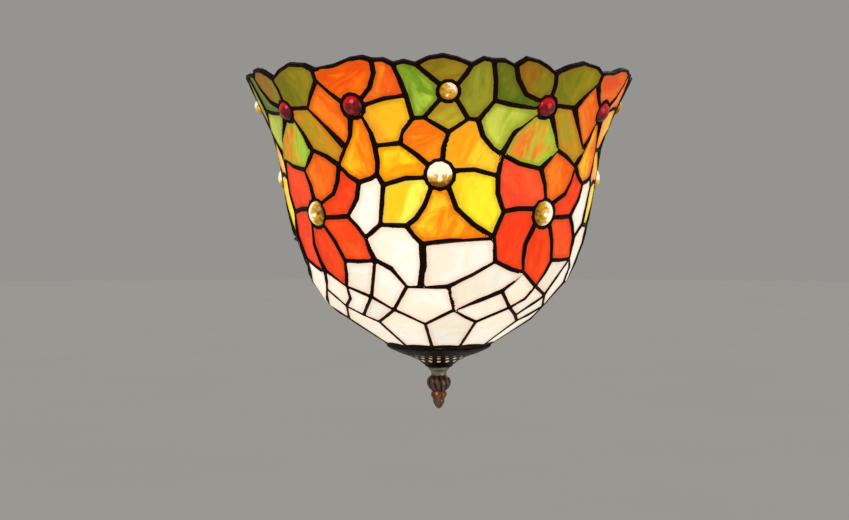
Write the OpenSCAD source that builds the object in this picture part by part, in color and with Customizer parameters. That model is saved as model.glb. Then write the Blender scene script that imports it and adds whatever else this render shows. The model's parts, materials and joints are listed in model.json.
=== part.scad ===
// Ceiling light: a leaded-glass bell shade that hangs under a ceiling pan, held by a rod and a finial.
// Z is up. The origin is the centre of the ceiling face, and the light hangs below it.
// The front faces -Y. Angles round the shade are degrees from the front, towards +X.

/* [Shade] */
// Thickness of the flat glass
glass_t = 3; // [2.6:0.1:3.2]
// Height of the solder beads above the glass, outside and inside
bead_h = 0.8; // [0.6:0.1:1]
// Free gap between a piece of glass and its solder
glass_gap = 0.15; // [0.1:0.05:0.2]
// How far a jewel's dome stands out of the glass
dome_h = 4.5; // [3:0.5:6]

/* [Ceiling pan] */
// Outer radius of the pan
pan_r = 60; // [58:1:64]
// Depth of the pan
pan_h = 25; // [24:1:27]
// Thickness of the pan's sheet
pan_wall = 1; // [0.8:0.1:1.2]
// Distance between the two canopy screws
screw_gap = 89; // [86:0.5:92]
// Distance between the crossbar's two fixing slots
slot_gap = 70; // [68:0.5:71]

/* [Lamp holders] */
// How far the bulbs point down from level
tilt = 35; // [32:1:38]
// Outer radius of a lamp holder
holder_r = 18.5; // [18:0.5:19]
// Radius of a bulb's globe
globe_r = 22.5; // [20:0.5:23]

/* [Rod and finial] */
// Radius of the centre rod
rod_r = 3; // [2.8:0.1:3.1]
// Height of the rod's lower end
rod_end = -244; // [-245:0.5:-243]

/* [Hidden] */
$fn = 48;
fit = 0.05;

// ---- The bell: its outer radius at each height, smoothed between the points ----

bell = [
    [-225, 24], [-215, 41.8], [-202.5, 62], [-191, 79], [-177.5, 93], [-160, 104], [-141, 112.5],
    [-122, 118], [-102, 121.5], [-82, 124.5], [-62, 128], [-44, 134], [-25, 143], [-6, 152], [4, 157]
];
function bell_r(z) = (lookup(z - 4, bell) + 2 * lookup(z, bell) + lookup(z + 4, bell)) / 4;
function bell_slope(z) = (bell_r(z + 3) - bell_r(z - 3)) / 6;
function turned(a) = (a + 720) % 360;
function on_shade(p) = [bell_r(p[1]) * sin(turned(p[0])), -bell_r(p[1]) * cos(turned(p[0])), p[1]];
function outward(p) = let (k = bell_slope(p[1])) [sin(p[0]), -cos(p[0]), -k] / sqrt(1 + k * k);
function sunk(p, depth) = on_shade(p) - depth * outward(p);

// ---- The cartoon: one quarter of the pattern of lead lines ----
// A point is [angle, height]. Two neighbours with the same third number have a line of that half
// width between them. A piece of glass is the loop of points round it, anticlockwise from outside.

function next(p) = concat([p[0] + 90], [for (i = [1:len(p) - 1]) p[i]]);
function last(p) = concat([p[0] - 90], [for (i = [1:len(p) - 1]) p[i]]);

// Half widths of the lead at the rim, round a jewel, in the thick line and at the bottom edge
rim_w = 2.4;
ring_w = 1.15;
thick_w = 2.5;
foot_w = 1.9;
foot_z = -214.2;

// The scalloped rim, from left to right
r0 = [-56, -12, rim_w];
r1 = [-51, -7, rim_w];
r2 = [-46, -4, rim_w];
r3 = [-40, -5.5, rim_w];
r4 = [-37, -9, rim_w];
r5 = [-30, -7.5, rim_w];
r6 = [-25, -4, rim_w];
r7 = [-21, -3, rim_w];
r8 = [-18, -5, rim_w];
r9 = [-15, -5, rim_w];
r10 = [-12.5, -8, rim_w];
r11 = [-9.5, -6.5, rim_w];
r12 = [-6.5, -8.5, rim_w];
r13 = [-3, -4.5, rim_w];
r14 = [1, -3, rim_w];
r15 = [5, -5, rim_w];
r16 = [9, -8.5, rim_w];
r17 = [12, -4.5, rim_w];
r18 = [14.5, -5.5, rim_w];
r19 = [18, -5.5, rim_w];
r20 = [21, -8.5, rim_w];
r21 = [24, -3.5, rim_w];
r22 = [28, -5, rim_w];
r23 = [31, -8, rim_w];
r24 = next(r0);

// Where three or four pieces meet, from the top down
b1 = [-37, -17];
b2 = [-44, -35.5];
b3 = [-9.5, -29.5];
b4 = [-32, -64];
b5 = [-21, -63.5];
b6 = [-12.5, -62];
b7 = [-8, -45];
b8 = [-4.5, -44.5];
b9 = [3, -54.5];
b10 = [9, -45.5];
b11 = [12, -46];
b12 = [16.5, -33];
b13 = [21, -69.5];
b14 = [36.5, -79];
b15 = [43, -65];
b16 = [54.5, -76.5];
b17 = [-28, -89];
b18 = [-21, -83.5];
b19 = [-19, -91];
b20 = [-34, -113.5];
b21 = [-21, -119.5];
b22 = [-11.5, -120.5];
b23 = [-27.5, -129];
b24 = [-6, -133.5, thick_w];
b25 = [20, -84.5];
b26 = [23, -110];
b27 = [20, -128.5];
b28 = [22, -146.5];
b29 = [36, -154.5];
b30 = [-43.5, -166];
b31 = [-39.5, -146.5];
b32 = [-25, -145.5];
b33 = [-32, -173.5];
b34 = [-22.5, -183];
b35 = [-13.5, -165];
b36 = [-7.5, -165.5, thick_w];
b37 = [4, -165];
b38 = [7.5, -183];
b39 = [28.5, -169];
b40 = [37, -182];
b41 = [-44.5, -188.5];
b42 = [-37, -193.5];
b43 = [-8, -194.5];
b44 = [21.5, -193];
f1 = [-36, foot_z, foot_w];
f2 = [-7, foot_z, foot_w];
f3 = [22, foot_z, foot_w];

// Bends in the curved lines, from the top down
m1 = [-18, -14];
m2 = [-20, -24];
m3 = [-33.5, -26];
m4 = [-41, -27];
m5 = [-11, -18];
m6 = [-8.7, -38];
m7 = [-16, -31.5];
m8 = [-22, -54];
m9 = [-29.5, -56];
m10 = [-38, -50];
m11 = [-20.5, -74];
m12 = [-34, -71];
m13 = [-32, -84];
m14 = [-23.5, -86.5];
m15 = [-3.5, -15];
m16 = [7.5, -15];
m17 = [16, -20];
m18 = [-11, -53];
m19 = [22.5, -18];
m20 = [26, -28];
m21 = [22, -35.5];
m22 = [14, -57];
m23 = [18, -66];
m24 = [24.5, -54];
m25 = [28, -76];
m26 = [40.5, -54];
m27 = [49, -70];
m28 = [40, -72];
m29 = [35, -20];
m30 = [1.5, -65];
m31 = [-7.5, -69.5];
m32 = [-11, -86.5];
m33 = [-5, -106];
m34 = [-8, -115];
m35 = [6, -108];
m36 = [12, -119];
m37 = [12, -80.5];
m38 = [20.5, -77];
m39 = [20.3, -97];
m40 = [21, -121];
m41 = [21, -137];
m42 = [30, -152.5];
m43 = [34, -134];
m44 = [34.5, -146];
m45 = [47.5, -132];
m46 = [-41, -157];
m47 = [-33, -147];
m48 = [-26.5, -138];
m49 = [-30.5, -121];
m50 = [-29.5, -101];
m51 = [51, -114];
m52 = [50.5, -97];
m53 = [53, -88];
m54 = [39, -90];
m55 = [29, -108];
m56 = [-20, -105];
m57 = [-9, -128];
m58 = [5, -131.5];
m59 = [-6, -150, thick_w];
m60 = [-19, -152];
m61 = [13, -157.5];
m62 = [19, -176.5];
m63 = [32.5, -163];
m64 = [-46, -176];
m65 = [14, -189];
m66 = [-36, -179.5];
m67 = [-30, -189.5];

// Jewels: [angle, height, radius of the lead line round it]
orange_jewel = [-26.5, -36, 9.5];
green_jewel = [2.7, -27, 8];
leaf_jewel = [34.3, -36, 9];
yellow_jewel = [0.3, -84, 10.7];
red_jewel = [40.2, -111.5, 10.8];

// A point of the lead line round a jewel, at an angle seen from outside, and an arc of that line
function on_ring(jewel, a) =
    let (side = [cos(jewel[0]), sin(jewel[0]), 0])
    let (up = cross(outward(jewel), side))
    let (q = on_shade(jewel) + jewel[2] * (cos(a) * side + sin(a) * up))
    [atan2(q[0], -q[1]), q[2], ring_w];
function arc(jewel, from, to) =
    let (n = ceil(abs(to - from) / 36))
    [for (i = [0:n]) on_ring(jewel, from + (to - from) * i / n)];
function ring(jewel, ends) =
    [for (i = [1:len(ends) - 1]) let (a = arc(jewel, ends[i], ends[i - 1]))
        for (k = [len(a) - 1:-1:1]) a[k]];

// Where the petals' lines meet their jewel, anticlockwise
orange_ends = [-205, -115, -55, 5, 35, 155];
green_ends = [-135, -45, 40, 140, 225];
leaf_ends = [-175, -140, -45, 10, 80, 150, 185];
yellow_ends = [-220, -170, -125, -55, 15, 80, 140];
red_ends = [-200, -135, -50, -15, 45, 90, 160];

orange_flower = [
    concat([m2, m1, r8, r7, r6, r5, r4, b1, m3], arc(orange_jewel, 155, 35)),
    concat([m7, b3, m5, r10, r9, r8, m1, m2], arc(orange_jewel, 35, 5)),
    concat([m8, b5, b6, m18, b7, m6, b3, m7], arc(orange_jewel, 5, -55)),
    concat([m9, b4, m12, last(b16), m13, b17, m14, b18, m11, b5, m8], arc(orange_jewel, -55, -115)),
    concat([m3, b1, m4, b2, m10, b4, m9], arc(orange_jewel, -115, -205))
];
green_flower = [
    concat([m15, r12, r11, r10, m5, b3, m6, b7, b8], arc(green_jewel, 225, 140)),
    concat([m16, r16, r15, r14, r13, r12, m15], arc(green_jewel, 140, 40)),
    concat([b10, b11, b12, m17, r18, r17, r16, m16], arc(green_jewel, 40, -45)),
    concat([b8, b9, b10], arc(green_jewel, -45, -135))
];
leaf_flower = [
    concat([m20, m19, r20, r19, r18, m17, b12, m21], arc(leaf_jewel, 185, 150)),
    concat([m29, r24, r23, r22, r21, r20, m19, m20], arc(leaf_jewel, 150, 80)),
    concat([next(b2), next(m4), next(b1), next(r4), next(r3), next(r2), next(r1), r24, m29],
        arc(leaf_jewel, 80, 10)),
    concat([m26, b15, m27, b16, next(m12), next(b4), next(m10), next(b2)], arc(leaf_jewel, 10, -45)),
    concat([m24, b13, m25, b14, m28, b15, m26], arc(leaf_jewel, -45, -140)),
    concat([m21, b12, b11, m22, m23, b13, m24], arc(leaf_jewel, -140, -175))
];
yellow_flower = [
    concat([m30, b9, b8, b7, m18, b6, m31], arc(yellow_jewel, 140, 80)),
    concat([m37, b25, m38, b13, m23, m22, b11, b10, b9, m30], arc(yellow_jewel, 80, 15)),
    concat([m35, m36, b27, m40, b26, m39, b25, m37], arc(yellow_jewel, 15, -55)),
    concat([m33, m34, b22, m57, b24, m58, b27, m36, m35], arc(yellow_jewel, -55, -125)),
    concat([m32, b19, m56, b21, b22, m34, m33], arc(yellow_jewel, -125, -170)),
    concat([m31, b6, b5, m11, b18, b19, m32], arc(yellow_jewel, -170, -220))
];
red_flower = [
    concat([m52, m53, b16, m27, b15, m28, b14, m54], arc(red_jewel, 90, 45)),
    concat([m51, next(b20), next(m50), next(b17), next(m13), b16, m53, m52], arc(red_jewel, 45, -15)),
    concat([m45, next(b31), next(m47), next(b32), next(m48), next(b23), next(m49), next(b20), m51],
        arc(red_jewel, -15, -50)),
    concat([m43, m44, b29, next(b30), next(m46), next(b31), m45], arc(red_jewel, -50, -135)),
    concat([m55, b26, m40, b27, m41, b28, m42, b29, m44, m43], arc(red_jewel, -135, -200)),
    concat([m54, b14, m25, b13, m38, b25, m39, b26, m55], arc(red_jewel, 160, 90))
];

// The white ground between and under the flowers
function foot(from, to) = [for (i = [1:2]) [from[0] + (to[0] - from[0]) * i / 3, foot_z, foot_w]];
white_glass = [
    [b23, b21, m56, b19, b18, m14, b17, m50, b20, m49],
    [b32, m60, b35, b36, m59, b24, m57, b22, b21, b23, m48],
    [b36, b37, m61, b28, m41, b27, m58, b24, m59],
    [b37, b38, m62, b39, m63, b29, m42, b28, m61],
    [b34, b43, b38, b37, b36, b35],
    [b33, b34, b35, m60, b32],
    [b30, b33, b32, m47, b31, m46],
    [last(b40), b41, m66, b33, b30, m64],
    [b41, b42, m67, b34, b33, m66],
    [b39, b40, next(m64), next(b30), b29, m63],
    [b38, m65, b44, b40, b39, m62],
    concat([f1], foot(f1, f2), [f2, b43, b34, m67, b42]),
    concat([f2], foot(f2, f3), [f3, b44, m65, b38, b43]),
    concat([f3], foot(f3, next(f1)), [next(f1), next(b42), next(b41), b40, b44])
];
jewel_holes = [
    ring(orange_jewel, orange_ends), ring(green_jewel, green_ends), ring(leaf_jewel, leaf_ends),
    ring(yellow_jewel, yellow_ends), ring(red_jewel, red_ends)
];

// ---- Flat pieces of glass, and the solder net round them ----

function quarter(loop, k) = [for (p = loop) [turned(p[0] + 90 * k), p[1], p[2]]];
function mean(v) = [for (i = [0:len(v) - 1]) 1] * v / len(v);
function unit(v) = v / norm(v);
function newell(v, n) = [for (i = [0:n - 1]) cross(v[i], v[(i + 1) % n])];
function total(v) = [for (i = [0:len(v) - 1]) 1] * v;

// The plane of a loop: [centre, sideways, up, outward]
function plane_of(loop) =
    let (v = [for (p = loop) sunk(p, bead_h + glass_t / 2)])
    let (out = unit(total(newell(v, len(v)))))
    let (side = unit(cross([0, 0, 1], out)))
    [mean(v), side, cross(out, side), out];
function flat(loop, f) =
    [for (p = loop) let (d = sunk(p, bead_h + glass_t / 2) - f[0]) [d * f[1], d * f[2]]];

// Half the width of the lead between two points: narrower low down, where the pieces are small
seam_w = [[-200, 1.15], [-165, 1.3], [-135, 1.75]];
function half_seam(a, b) =
    a[2] != undef && a[2] == b[2] ? a[2] : lookup((a[1] + b[1]) / 2, seam_w);
function inset(v, w, n) =
    [for (i = [0:n - 1])
        let (e0 = unit(v[i] - v[(i + n - 1) % n]), e1 = unit(v[(i + 1) % n] - v[i]))
        let (k = e0[0] * e1[1] - e0[1] * e1[0], w0 = w[(i + n - 1) % n], w1 = w[i])
        v[i] + (abs(k) < 0.05 ? (w0 + w1) / 2 * [-e1[1], e1[0]] : (w0 * e1 - w1 * e0) / k)];
function outline(loop, f, more) =
    let (n = len(loop))
    inset(flat(loop, f), [for (i = [0:n - 1]) half_seam(loop[i], loop[(i + 1) % n]) + more], n);
function placed(f, q, h) = f[0] + q[0] * f[1] + q[1] * f[2] + h * f[3];

module in_plane(f) {
    multmatrix([for (i = [0:2]) [f[1][i], f[2][i], f[3][i], f[0][i]]]) children();
}
module pane(loop) {
    f = plane_of(loop);
    in_plane(f) translate([0, 0, -glass_t / 2]) linear_extrude(glass_t) polygon(outline(loop, f, glass_gap));
}
module panes(loops, colours, k) {
    for (i = [0:len(loops) - 1]) color(colours[i % len(colours)]) pane(quarter(loops[i], k));
}

// The net takes each loop as four rings of points: crest and glass edge outside, then inside
function net_points(loop) =
    let (f = plane_of(loop), q = outline(loop, f, 0))
    concat(
        [for (p = loop) on_shade(p)], [for (c = q) placed(f, c, glass_t / 2)],
        [for (c = q) placed(f, c, -glass_t / 2)], [for (p = loop) sunk(p, 2 * bead_h + glass_t)]);
function halves(a, b, c, d) = [[a, b, c], [a, c, d]];
function is_edge(a, b) = a[2] == b[2] && (a[2] == rim_w || a[2] == foot_w);
function net_faces(loop, at) =
    let (n = len(loop))
    [for (i = [0:n - 1])
        let (j = (i + 1) % n, a = at + i, b = at + j)
        each concat(
            halves(a + n, b + n, b, a), halves(b + n, a + n, a + 2 * n, b + 2 * n),
            halves(b + 2 * n, a + 2 * n, a + 3 * n, b + 3 * n),
            is_edge(loop[i], loop[j]) ? halves(a, b, b + 3 * n, a + 3 * n) : [])];
net_loops = [
    for (k = [0:3], loops = [orange_flower, green_flower, leaf_flower, yellow_flower, red_flower,
        white_glass, jewel_holes], loop = loops) quarter(loop, k)];
function starts(sizes, i = 0, sum = 0) =
    i == len(sizes) ? [] : concat([sum], starts(sizes, i + 1, sum + sizes[i]));
net_starts = starts([for (loop = net_loops) 4 * len(loop)]);

module leading() {
    color("#241b16") polyhedron(
        points = [for (loop = net_loops) each net_points(loop)],
        faces = [for (i = [0:len(net_loops) - 1]) each net_faces(net_loops[i], net_starts[i])],
        convexity = 12);
}

orange_colours = ["#e2701c", "#d8501c", "#eab52c", "#f08a20", "#ee7c24"];
green_colours = ["#5f8a2a", "#8a7a2c", "#8c963c", "#a9a546"];
leaf_colours = ["#5a6a26", "#7a7a2e", "#8c9232", "#c38c32", "#96c046", "#bcca58"];
yellow_colours = ["#f6961e", "#f8c83c", "#fbdc34", "#f6a018", "#fbe044", "#f6aa1a"];
red_colours = ["#f0602a", "#e84a26", "#e8482a", "#ea4c28", "#e84a26", "#ea4e28"];
white_colours = ["#fff6e6"];

module orange_flower_1() panes(orange_flower, orange_colours, 0);
module orange_flower_2() panes(orange_flower, orange_colours, 1);
module orange_flower_3() panes(orange_flower, orange_colours, 2);
module orange_flower_4() panes(orange_flower, orange_colours, 3);
module green_flower_1() panes(green_flower, green_colours, 0);
module green_flower_2() panes(green_flower, green_colours, 1);
module green_flower_3() panes(green_flower, green_colours, 2);
module green_flower_4() panes(green_flower, green_colours, 3);
module leaf_flower_1() panes(leaf_flower, leaf_colours, 0);
module leaf_flower_2() panes(leaf_flower, leaf_colours, 1);
module leaf_flower_3() panes(leaf_flower, leaf_colours, 2);
module leaf_flower_4() panes(leaf_flower, leaf_colours, 3);
module yellow_flower_1() panes(yellow_flower, yellow_colours, 0);
module yellow_flower_2() panes(yellow_flower, yellow_colours, 1);
module yellow_flower_3() panes(yellow_flower, yellow_colours, 2);
module yellow_flower_4() panes(yellow_flower, yellow_colours, 3);
module red_flower_1() panes(red_flower, red_colours, 0);
module red_flower_2() panes(red_flower, red_colours, 1);
module red_flower_3() panes(red_flower, red_colours, 2);
module red_flower_4() panes(red_flower, red_colours, 3);
module white_glass_1() panes(white_glass, white_colours, 0);
module white_glass_2() panes(white_glass, white_colours, 1);
module white_glass_3() panes(white_glass, white_colours, 2);
module white_glass_4() panes(white_glass, white_colours, 3);

// A jewel: a drum as thick as the glass with a domed face
module jewel(at, k) {
    loop = quarter([at], k)[0];
    r = at[2] * cos(18) - ring_w - glass_gap;
    dome_r = (r * r + dome_h * dome_h) / (2 * dome_h);
    side = [cos(loop[0]), sin(loop[0]), 0];
    out = outward(loop);
    in_plane([sunk(loop, bead_h + glass_t / 2), side, cross(out, side), out]) {
        rotate_extrude() intersection() {
            translate([0, -glass_t / 2]) square([r, glass_t + dome_h]);
            translate([0, glass_t / 2 + dome_h - dome_r]) circle(dome_r);
        }
    }
}
module red_jewels() {
    for (k = [0:3], at = [orange_jewel, leaf_jewel]) color("#a01410") jewel(at, k);
}
module clear_jewels() {
    for (k = [0:3], at = [green_jewel, yellow_jewel, red_jewel]) color("#f6e2b0") jewel(at, k);
}

// ---- Cap and finial under the shade ----

module bottom_ring() {
    color("#8a6a34") rotate_extrude() translate([37.6, -214.9]) square([2.6, 2.3]);
}

// The cap: a pierced bowl, whose lip carries the shade's lower edge. Rows are [radius, holes, turn].
cap_t = 0.8;
cap_line = [[41.8, -215.4], [41.4, -216.6], [38.7, -218.4], [32, -221.4], [26, -223.6], [20.2, -226],
    [14.6, -229.2], [11.4, -231.6], [10.8, -232.7]];
cap_inside = [[3.3, -232.7 + cap_t], [10.2, -232.7 + cap_t], [10.8, -230.9], [14.1, -228.5], [19.9, -225.3],
    [25.8, -222.8], [31.7, -220.6], [38.3, -217.6], [40.6, -216], [41, -215.4]];
cap_rows = [[29, 28, 0], [23.2, 22, 0.5], [17.5, 16, 0]];
module vented_cap() {
    color("#3a2c20") difference() {
        rotate_extrude() polygon(concat(cap_line, [[3.3, -232.7]], cap_inside));
        for (row = cap_rows, i = [0:row[1] - 1])
            rotate([0, 0, (i + row[2]) * 360 / row[1]]) translate([row[0], 0, -236])
                cylinder(r = 1.5, h = 20, $fn = 24);
    }
}
module cap_washer() {
    color("#6a5226") translate([0, 0, -233.5]) difference() {
        cylinder(r = 9.6, h = 0.8);
        translate([0, 0, -1]) cylinder(r = 3.3, h = 3);
    }
}

// The finial: neck, bulb, collar and acorn tip, turned from one bar
function bulge(r, depth, from, to, n = 8) =
    [for (i = [0:n]) [r + depth * sin(180 * i / n), from + (to - from) * i / n]];
function acorn(r, from, to, n = 8) =
    [for (i = [0:n - 1]) [r * cos(90 * i / n), from + (to - from) * sin(90 * i / n)]];
finial_top = -233.5;
module finial() {
    color("#8f6f3c") difference() {
        rotate_extrude() polygon(concat(
            [[0, finial_top], [8.4, finial_top], [8.4, -235]], bulge(6.6, -0.6, -236.2, -239.6),
            bulge(6.6, 2.8, -240.6, -252), bulge(4.6, 1.5, -252.6, -258.2), acorn(4.6, -258.8, -267),
            [[0, -267]]));
        translate([0, 0, rod_end - 2]) cylinder(r = rod_r + fit, h = 20);
    }
}

// ---- Ceiling pan and its fixings ----

bar_t = 3;
ground_x = 12.5;
module slot(x, long, r) {
    for (side = [-1, 1]) translate([x + side * (long / 2 - r), 0, -bar_t - 1]) cylinder(r = r, h = bar_t + 2);
    translate([x - long / 2 + r, -r, -bar_t - 1]) cube([long - 2 * r, 2 * r, bar_t + 2]);
}
module crossbar() {
    color("#b9b9b4") difference() {
        translate([-53, -10, -bar_t]) cube([106, 20, bar_t]);
        for (side = [-1, 1]) {
            slot(side * slot_gap / 2, 12, 2.25);
            translate([side * screw_gap / 2, 0, -bar_t - 1]) cylinder(r = 2 + fit, h = bar_t + 2);
        }
        translate([0, 0, -bar_t - 1]) cylinder(r = 4.8 + fit, h = bar_t + 2);
        translate([ground_x, 5, -bar_t - 1]) cylinder(r = 2 + fit, h = bar_t + 2);
    }
}
module ground_screw() {
    color("#3c8c46") translate([ground_x, 5, 0]) {
        translate([0, 0, -8]) cylinder(r = 2, h = 8);
        translate([0, 0, -10.2]) cylinder(r = 4, h = 2.2);
    }
}
module canopy_screws() {
    for (side = [-1, 1]) color("#c8c4b4")
        translate([side * screw_gap / 2, 0, -pan_h - 6]) cylinder(r = 2, h = pan_h + 6);
}
module cap_nuts() {
    for (side = [-1, 1]) color("#8f6f3c") translate([side * screw_gap / 2, 0, -pan_h]) difference() {
        union() {
            translate([0, 0, -1.5]) cylinder(r = 5.5, h = 1.2);
            translate([0, 0, -6]) cylinder(r = 4, h = 5);
            translate([0, 0, -7]) sphere(r = 5);
        }
        translate([0, 0, -7.5]) cylinder(r = 2 + fit, h = 9);
    }
}
module ceiling_pan() {
    round_r = 8;
    color("#4a3824") difference() {
        rotate_extrude() difference() {
            union() {
                translate([0, -pan_h]) square([pan_r - round_r, pan_h]);
                translate([0, round_r - pan_h]) square([pan_r, pan_h - round_r]);
                translate([pan_r - round_r, round_r - pan_h]) circle(round_r);
            }
            union() {
                translate([0, pan_wall - pan_h]) square([pan_r - round_r, pan_h]);
                translate([0, round_r - pan_h]) square([pan_r - pan_wall, pan_h]);
                translate([pan_r - round_r, round_r - pan_h]) circle(round_r - pan_wall);
            }
        }
        translate([0, 0, -pan_h - 1]) cylinder(r = 5, h = 4);
        for (side = [-1, 1]) translate([side * screw_gap / 2, 0, -pan_h - 1]) cylinder(r = 2.3, h = 4);
        for (x = [-12, 12], y = [-16, 16]) translate([x, y, -pan_h - 1]) cylinder(r = 2.7, h = 4);
    }
}
module wire_grommets() {
    for (x = [-12, 12], y = [-16, 16]) color("#26262a") translate([x, y, -pan_h]) difference() {
        union() {
            translate([0, 0, -1.3]) cylinder(r = 4, h = 1.3);
            translate([0, 0, -0.5]) cylinder(r = 2.65, h = 2.5);
        }
        translate([0, 0, -2]) cylinder(r = 1.5, h = 6);
    }
}
module nipple() {
    color("#c8b070") difference() {
        translate([0, 0, -48]) cylinder(r = 4.8, h = 48);
        translate([0, 0, -49]) cylinder(r = 3.4, h = 50);
    }
}
module nut(r, bore, h) {
    difference() {
        cylinder(r = r, h = h, $fn = 6);
        translate([0, 0, -1]) cylinder(r = bore, h = h + 2);
    }
}
module lock_nut() {
    color("#c8c4b4") translate([0, 0, -7.2]) nut(8, 4.8 + fit, 4);
}
module pan_washer() {
    color("#b9b9b4") translate([0, 0, -26.4]) difference() {
        cylinder(r = 9, h = 1.2);
        translate([0, 0, -1]) cylinder(r = 5, h = 4);
    }
}
module pan_nut() {
    color("#c8c4b4") translate([0, 0, -30.6]) nut(8, 4.8 + fit, 4);
}

// ---- Lamp holders and bulbs, on a bracket under the pan ----

holder_y = 18;
holder_z = -50;
holder_h = 36;
module on_bulb_axis(back) {
    mirror([0, back ? 1 : 0, 0]) translate([0, -holder_y, holder_z]) rotate([90 + tilt, 0, 0]) children();
}
// A point of the bracket's side view: how far up its arm, and how far behind the lamp holder's base
function arm_at(up, behind) = [
    -holder_y - up * sin(tilt) + behind * cos(tilt), holder_z + up * cos(tilt) + behind * sin(tilt)];
function bent_at(z, behind) = arm_at((z - holder_z - behind * sin(tilt)) / cos(tilt), behind);
module socket_bracket() {
    side = [bent_at(-41.5, 1.8), arm_at(-11, 1.8), arm_at(-11, 0.3), bent_at(-40, 0.3)];
    other_side = [for (i = [3:-1:0]) [-side[i][0], side[i][1]]];
    color("#b9b9b4") difference() {
        rotate([90, 0, 90]) translate([0, 0, -8]) linear_extrude(16) polygon(concat(side, other_side));
        translate([0, 0, -43]) cylinder(r = 4.8 + fit, h = 5);
        for (back = [false, true]) on_bulb_axis(back) translate([0, 0, -4]) cylinder(r = 2 + fit, h = 8);
    }
}
module holder_screws() {
    for (back = [false, true]) color("#c8c4b4") on_bulb_axis(back) {
        translate([0, 0, -1.9]) cylinder(r = 2, h = 6.4);
        translate([0, 0, -4]) cylinder(r = 3.6, h = 2.1);
    }
}
module rod_coupling() {
    color("#c8b070") translate([0, 0, -60]) difference() {
        cylinder(r = 7, h = 18.4, $fn = 6);
        translate([0, 0, 11]) cylinder(r = 4.8 + fit, h = 8);
        translate([0, 0, -1]) cylinder(r = rod_r + fit, h = 14);
    }
}
module centre_rod() {
    color("#c8b070") translate([0, 0, rod_end]) cylinder(r = rod_r, h = -50 - rod_end);
}
module lamp_holder(back) {
    color("#2a2320") on_bulb_axis(back) difference() {
        union() {
            cylinder(r = holder_r - 2, h = holder_h);
            translate([0, 0, holder_h - 12]) cylinder(r = holder_r, h = 12);
            cylinder(r = holder_r, h = 6);
        }
        translate([0, 0, 8]) cylinder(r = 14.6, h = holder_h);
        translate([0, 0, -1]) cylinder(r = 2 + fit, h = 6);
        for (x = [-12, 12]) translate([x, 5, -1]) cylinder(r = 1.3, h = 5);
    }
}
module lamp_holder_front() lamp_holder(false);
module lamp_holder_back() lamp_holder(true);
module screw_shell(back) {
    color("#c8b070") on_bulb_axis(back) translate([0, 0, 9]) difference() {
        cylinder(r = 14.3, h = 24);
        translate([0, 0, -1]) cylinder(r = 13.5, h = 26);
    }
}
module screw_shell_front() screw_shell(false);
module screw_shell_back() screw_shell(true);
module contact(back) {
    color("#d8b45a") on_bulb_axis(back) translate([0, 0, 8.1]) {
        translate([-2.5, -7, 0]) cube([5, 14, 0.6]);
        cylinder(r = 3, h = 1.6);
    }
}
module contact_front() contact(false);
module contact_back() contact(true);
globe_z = 62;
module bulb_glass(back) {
    neck_z = globe_z - globe_r * 0.72;
    color("#fff8e0") on_bulb_axis(back) difference() {
        union() {
            translate([0, 0, globe_z]) sphere(r = globe_r);
            translate([0, 0, 35.2]) cylinder(r1 = 12, r2 = globe_r * 0.69, h = neck_z - 35.2);
        }
        translate([0, 0, globe_z]) sphere(r = globe_r - 1);
        translate([0, 0, 34.2]) cylinder(r1 = 11, r2 = globe_r * 0.69 - 1, h = neck_z - 34.2);
    }
}
module bulb_glass_front() bulb_glass(false);
module bulb_glass_back() bulb_glass(true);
module bulb_cap(back) {
    color("#c9c9c4") on_bulb_axis(back) difference() {
        union() {
            translate([0, 0, 13]) cylinder(r = 13, h = 22);
            translate([0, 0, 11]) cylinder(r1 = 8, r2 = 12, h = 2);
        }
        translate([0, 0, 14]) cylinder(r = 12, h = 22);
        translate([0, 0, 10]) cylinder(r = 4, h = 6);
    }
}
module bulb_cap_front() bulb_cap(false);
module bulb_cap_back() bulb_cap(true);
module bulb_tip(back) {
    color("#9a8a5a") on_bulb_axis(back) {
        translate([0, 0, 10.1]) cylinder(r = 2.6, h = 1);
        translate([0, 0, 11]) cylinder(r = 4 - fit, h = 3);
    }
}
module bulb_tip_front() bulb_tip(false);
module bulb_tip_back() bulb_tip(true);

// ---- Wiring: each wire is swept along a short list of points, whose corners are cut round twice ----

function cut(v) = concat(
    [v[0]],
    [for (i = [1:len(v) - 2]) each [(v[i - 1] + 3 * v[i]) / 4, (3 * v[i] + v[i + 1]) / 4]],
    [v[len(v) - 1]]);
module wire(points, r, sides = 8) {
    v = cut(cut(points));
    n = len(v);
    rings = [for (i = [0:n - 1])
        let (along = unit(v[min(i + 1, n - 1)] - v[max(i - 1, 0)]))
        let (a = unit(cross(along, [0.62, 0.48, 0.62])), b = cross(along, a))
        for (k = [0:sides - 1]) v[i] + r * (cos(360 * k / sides) * a + sin(360 * k / sides) * b)];
    walls = [for (i = [0:n - 2], k = [0:sides - 1])
        let (a = i * sides + k, b = i * sides + (k + 1) % sides)
        each halves(a, a + sides, b + sides, b)];
    ends = [[for (k = [0:sides - 1]) k], [for (k = [sides - 1:-1:0]) (n - 1) * sides + k]];
    polyhedron(points = rings, faces = concat(walls, ends));
}
module holder_wires() {
    y0 = holder_y + 5 * sin(tilt);
    z0 = holder_z + 5 * cos(tilt);
    for (x = [-1, 1], y = [-1, 1]) color(x > 0 ? "#e8e6e0" : "#1e1e20") wire([
        [12 * x, (y0 + 2 * cos(tilt)) * y, z0 - 2 * sin(tilt)],
        [12 * x, (y0 - 4 * cos(tilt)) * y, z0 + 4 * sin(tilt)],
        [12 * x, 16 * y, -36], [12 * x, 16 * y, -15], [14 * x, 9 * y, -12.5], [18 * x, 2 * y, -12.5],
        [26 * x, 2 * y, -12.5]], 1.2);
}
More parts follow.
